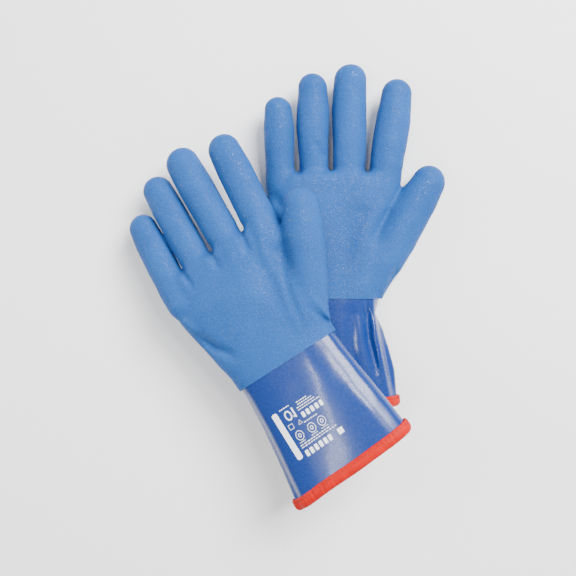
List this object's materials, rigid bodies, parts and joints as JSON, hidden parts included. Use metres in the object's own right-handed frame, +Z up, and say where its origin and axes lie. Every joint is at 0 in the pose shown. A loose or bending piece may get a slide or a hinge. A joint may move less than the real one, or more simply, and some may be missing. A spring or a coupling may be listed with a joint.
{
  "type": "cryogenic gloves",
  "caption": "Pair of insulated gauntlet gloves, PVC coated over a fleece liner, one lying across the other, fingers that bend at the knuckles.",
  "frame": {"origin": "middle of the pair's bounding box in plan, on the surface the gloves lie on", "axes": "+Z up from the table, +Y along the right glove from its hem to its fingertips"},
  "size_m": [0.2706, 0.3678, 0.0884],
  "materials": {
    "grip_coat": "matte, rough grain",
    "smooth_shell": "gloss",
    "fleece_liner": "matte pile",
    "hem_band": "satin",
    "hem_thread": "matte"
  },
  "bodies": {
    "right_glove": {"right_hand_coat": "grip_coat", "right_hand_shell": "smooth_shell", "right_liner_palm_panel": "fleece_liner", "right_liner_back_panel": "fleece_liner", "right_hem_binding": "hem_band", "right_hem_stitches": "hem_thread"},
    "left_glove": {"left_hand_coat": "grip_coat", "left_hand_shell": "smooth_shell", "left_liner_palm_panel": "fleece_liner", "left_liner_back_panel": "fleece_liner", "left_hem_binding": "hem_band", "left_hem_stitches": "hem_thread"},
    "right_little_proximal": {"right_little_proximal_coat": "grip_coat", "right_little_shell": "smooth_shell", "right_little_liner": "fleece_liner"},
    "right_little_distal": {"right_little_distal_coat": "grip_coat"},
    "right_ring_proximal": {"right_ring_proximal_coat": "grip_coat", "right_ring_shell": "smooth_shell", "right_ring_liner": "fleece_liner"},
    "right_ring_distal": {"right_ring_distal_coat": "grip_coat"},
    "right_middle_proximal": {"right_middle_proximal_coat": "grip_coat", "right_middle_shell": "smooth_shell", "right_middle_liner": "fleece_liner"},
    "right_middle_distal": {"right_middle_distal_coat": "grip_coat"},
    "right_index_proximal": {"right_index_proximal_coat": "grip_coat", "right_index_shell": "smooth_shell", "right_index_liner": "fleece_liner"},
    "right_index_distal": {"right_index_distal_coat": "grip_coat"},
    "right_thumb_tip": {"right_thumb_tip_coat": "grip_coat", "right_thumb_shell": "smooth_shell", "right_thumb_liner": "fleece_liner"},
    "left_little_proximal": {"left_little_proximal_coat": "grip_coat", "left_little_shell": "smooth_shell", "left_little_liner": "fleece_liner"},
    "left_little_distal": {"left_little_distal_coat": "grip_coat"},
    "left_ring_proximal": {"left_ring_proximal_coat": "grip_coat", "left_ring_shell": "smooth_shell", "left_ring_liner": "fleece_liner"},
    "left_ring_distal": {"left_ring_distal_coat": "grip_coat"},
    "left_middle_proximal": {"left_middle_proximal_coat": "grip_coat", "left_middle_shell": "smooth_shell", "left_middle_liner": "fleece_liner"},
    "left_middle_distal": {"left_middle_distal_coat": "grip_coat"},
    "left_index_proximal": {"left_index_proximal_coat": "grip_coat", "left_index_shell": "smooth_shell", "left_index_liner": "fleece_liner"},
    "left_index_distal": {"left_index_distal_coat": "grip_coat"},
    "left_thumb_tip": {"left_thumb_tip_coat": "grip_coat", "left_thumb_shell": "smooth_shell", "left_thumb_liner": "fleece_liner"}
  },
  "joints": [
    {"name": "left_glove_lift", "type": "slide", "parent": "right_glove", "child": "left_glove", "axis": [0, 0, 1], "range_m": [0, 0.15]},
    {"name": "right_little_knuckle", "type": "hinge", "parent": "right_glove", "child": "right_little_proximal", "pos_m": [-0.00629, 0.10449, 0.0197], "axis": [0.999, 0.0436, 0], "range_deg": [-8, 60], "stiffness_Nm_per_rad": 0.3, "deforming": ["right_little_shell", "right_little_liner"]},
    {"name": "right_little_middle_joint", "type": "hinge", "parent": "right_little_proximal", "child": "right_little_distal", "pos_m": [-0.00732, 0.12812, 0.02219], "axis": [0.999, 0.0436, 0], "range_deg": [0, 60], "stiffness_Nm_per_rad": 0.2},
    {"name": "right_ring_knuckle", "type": "hinge", "parent": "right_glove", "child": "right_ring_proximal", "pos_m": [0.02201, 0.10852, 0.0195], "axis": [0.9998, 0.0174, 0], "range_deg": [-8, 60], "stiffness_Nm_per_rad": 0.3, "deforming": ["right_ring_shell", "right_ring_liner"]},
    {"name": "right_ring_middle_joint", "type": "hinge", "parent": "right_ring_proximal", "child": "right_ring_distal", "pos_m": [0.02144, 0.14113, 0.02236], "axis": [0.9998, 0.0174, 0], "range_deg": [0, 60], "stiffness_Nm_per_rad": 0.2},
    {"name": "right_middle_knuckle", "type": "hinge", "parent": "right_glove", "child": "right_middle_proximal", "pos_m": [0.05181, 0.11054, 0.0193], "axis": [1, -0.0087, 0], "range_deg": [-8, 60], "stiffness_Nm_per_rad": 0.3, "deforming": ["right_middle_shell", "right_middle_liner"]},
    {"name": "right_middle_middle_joint", "type": "hinge", "parent": "right_middle_proximal", "child": "right_middle_distal", "pos_m": [0.05212, 0.14655, 0.02182], "axis": [1, -0.0087, 0], "range_deg": [0, 60], "stiffness_Nm_per_rad": 0.2},
    {"name": "right_index_knuckle", "type": "hinge", "parent": "right_glove", "child": "right_index_proximal", "pos_m": [0.0857, 0.10843, 0.0195], "axis": [0.9914, -0.1305, 0], "range_deg": [-8, 60], "stiffness_Nm_per_rad": 0.3, "deforming": ["right_index_shell", "right_index_liner"]},
    {"name": "right_index_middle_joint", "type": "hinge", "parent": "right_index_proximal", "child": "right_index_distal", "pos_m": [0.08963, 0.13827, 0.02214], "axis": [0.9914, -0.1305, 0], "range_deg": [0, 60], "stiffness_Nm_per_rad": 0.2},
    {"name": "right_thumb_joint", "type": "hinge", "parent": "right_glove", "child": "right_thumb_tip", "pos_m": [0.11431, 0.06924, 0.02164], "axis": [0.8746, -0.4848, 0], "range_deg": [-8, 40], "stiffness_Nm_per_rad": 0.3, "deforming": ["right_thumb_shell", "right_thumb_liner"]},
    {"name": "left_little_knuckle", "type": "hinge", "parent": "left_glove", "child": "left_little_proximal", "pos_m": [-0.10523, 0.00794, 0.03493], "axis": [-0.8531, -0.5016, -0.1434], "range_deg": [-8, 60], "stiffness_Nm_per_rad": 0.3, "deforming": ["left_little_shell", "left_little_liner"]},
    {"name": "left_little_middle_joint", "type": "hinge", "parent": "left_little_proximal", "child": "left_little_distal", "pos_m": [-0.1163, 0.0283, 0.02958], "axis": [-0.8531, -0.5016, -0.1434], "range_deg": [0, 60], "stiffness_Nm_per_rad": 0.2},
    {"name": "left_ring_knuckle", "type": "hinge", "parent": "left_glove", "child": "left_ring_proximal", "pos_m": [-0.08451, 0.02653, 0.03878], "axis": [-0.8444, -0.5166, -0.1418], "range_deg": [-8, 60], "stiffness_Nm_per_rad": 0.3, "deforming": ["left_ring_shell", "left_ring_liner"]},
    {"name": "left_ring_middle_joint", "type": "hinge", "parent": "left_ring_proximal", "child": "left_ring_distal", "pos_m": [-0.10049, 0.05439, 0.03245], "axis": [-0.8444, -0.5166, -0.1418], "range_deg": [0, 60], "stiffness_Nm_per_rad": 0.2},
    {"name": "left_middle_knuckle", "type": "hinge", "parent": "left_glove", "child": "left_middle_proximal", "pos_m": [-0.0613, 0.04435, 0.04307], "axis": [-0.8444, -0.5166, -0.1418], "range_deg": [-8, 60], "stiffness_Nm_per_rad": 0.3, "deforming": ["left_middle_shell", "left_middle_liner"]},
    {"name": "left_middle_middle_joint", "type": "hinge", "parent": "left_middle_proximal", "child": "left_middle_distal", "pos_m": [-0.07919, 0.07517, 0.03731], "axis": [-0.8444, -0.5166, -0.1418], "range_deg": [0, 60], "stiffness_Nm_per_rad": 0.2},
    {"name": "left_index_knuckle", "type": "hinge", "parent": "left_glove", "child": "left_index_proximal", "pos_m": [-0.0328, 0.06084, 0.04847], "axis": [-0.8778, -0.4557, -0.1478], "range_deg": [-8, 60], "stiffness_Nm_per_rad": 0.3, "deforming": ["left_index_shell", "left_index_liner"]},
    {"name": "left_index_middle_joint", "type": "hinge", "parent": "left_index_proximal", "child": "left_index_distal", "pos_m": [-0.04626, 0.08773, 0.04551], "axis": [-0.8778, -0.4557, -0.1478], "range_deg": [0, 60], "stiffness_Nm_per_rad": 0.2},
    {"name": "left_thumb_joint", "type": "hinge", "parent": "left_glove", "child": "left_thumb_tip", "pos_m": [0.01112, 0.0436, 0.06262], "axis": [-0.9832, -0.0716, -0.1676], "range_deg": [-8, 40], "stiffness_Nm_per_rad": 0.3, "deforming": ["left_thumb_shell", "left_thumb_liner"]}
  ]
}
